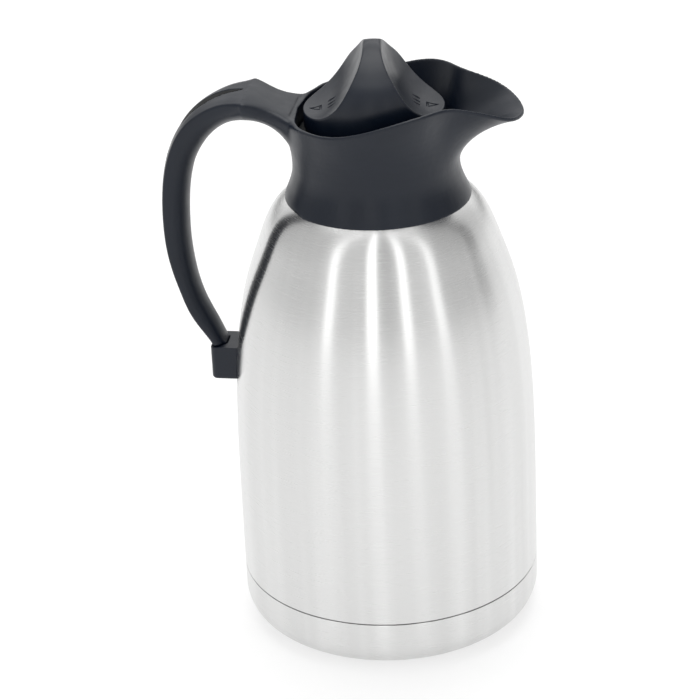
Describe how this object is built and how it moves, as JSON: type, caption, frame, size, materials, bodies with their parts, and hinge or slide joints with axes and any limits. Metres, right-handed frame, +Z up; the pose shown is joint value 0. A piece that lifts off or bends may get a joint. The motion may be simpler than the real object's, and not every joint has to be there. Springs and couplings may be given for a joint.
{
  "type": "vacuum carafe",
  "caption": "Stainless steel vacuum carafe with a pouring collar, side handle and a screw-in twist-to-pour stopper.",
  "frame": {"origin": "on the body's axis, on the surface that the foot pad rests on", "axes": "+Z up along the body's axis, +X towards the spout, the handle on the -X side"},
  "size_m": [0.1805, 0.15, 0.3019],
  "materials": {
    "steel": "vertical-streaked satin, brushed round the axis",
    "bare_steel": "plain drawn steel",
    "seal_metal": "cast",
    "getter_metal": "sintered",
    "black_plastic": "fine moulded satin",
    "inner_plastic": "moulded satin",
    "soft_inlay": "soft matt",
    "pad_rubber": "matt",
    "silicone": "satin",
    "foam": "closed-cell foam",
    "screw_steel": "zinc plated"
  },
  "bodies": {
    "root": {"outer_shell": "steel", "flask_cup": "bare_steel", "flask_shoulder": "bare_steel", "flask_neck": "bare_steel", "vacuum_plate": "bare_steel", "vacuum_seal": "seal_metal", "getter": "getter_metal", "base_cup": "steel", "foot_pad": "pad_rubber", "pour_collar": "black_plastic", "handle_inlay": "soft_inlay", "lower_bracket": "black_plastic", "bracket_boss": "bare_steel", "bracket_screw": "screw_steel", "handle_screw": "screw_steel", "neck_gasket": "silicone", "neck_ring": "inner_plastic"},
    "stopper_seal": {"seal_disc": "inner_plastic", "seal_gasket": "silicone"},
    "stopper": {"stopper_core": "inner_plastic", "stopper_o_ring": "silicone", "stopper_screws": "screw_steel", "stopper_foam": "foam", "stopper_cap": "inner_plastic", "seal_retainer": "screw_steel", "stopper_grip": "black_plastic"}
  },
  "joints": [
    {"name": "stopper_lift", "type": "slide", "parent": "root", "child": "stopper_seal", "axis": [0, 0, 1], "range_m": [0, 0.00905]},
    {"name": "stopper_turn", "type": "hinge", "parent": "stopper_seal", "child": "stopper", "pos_m": [0, 0, 0.25], "axis": [0, 0, 1], "range_deg": [0, 270]}
  ],
  "couplings": [
    {"joint": "stopper_lift", "follows": "stopper_turn", "m_per_rad": 0.0019099}
  ]
}
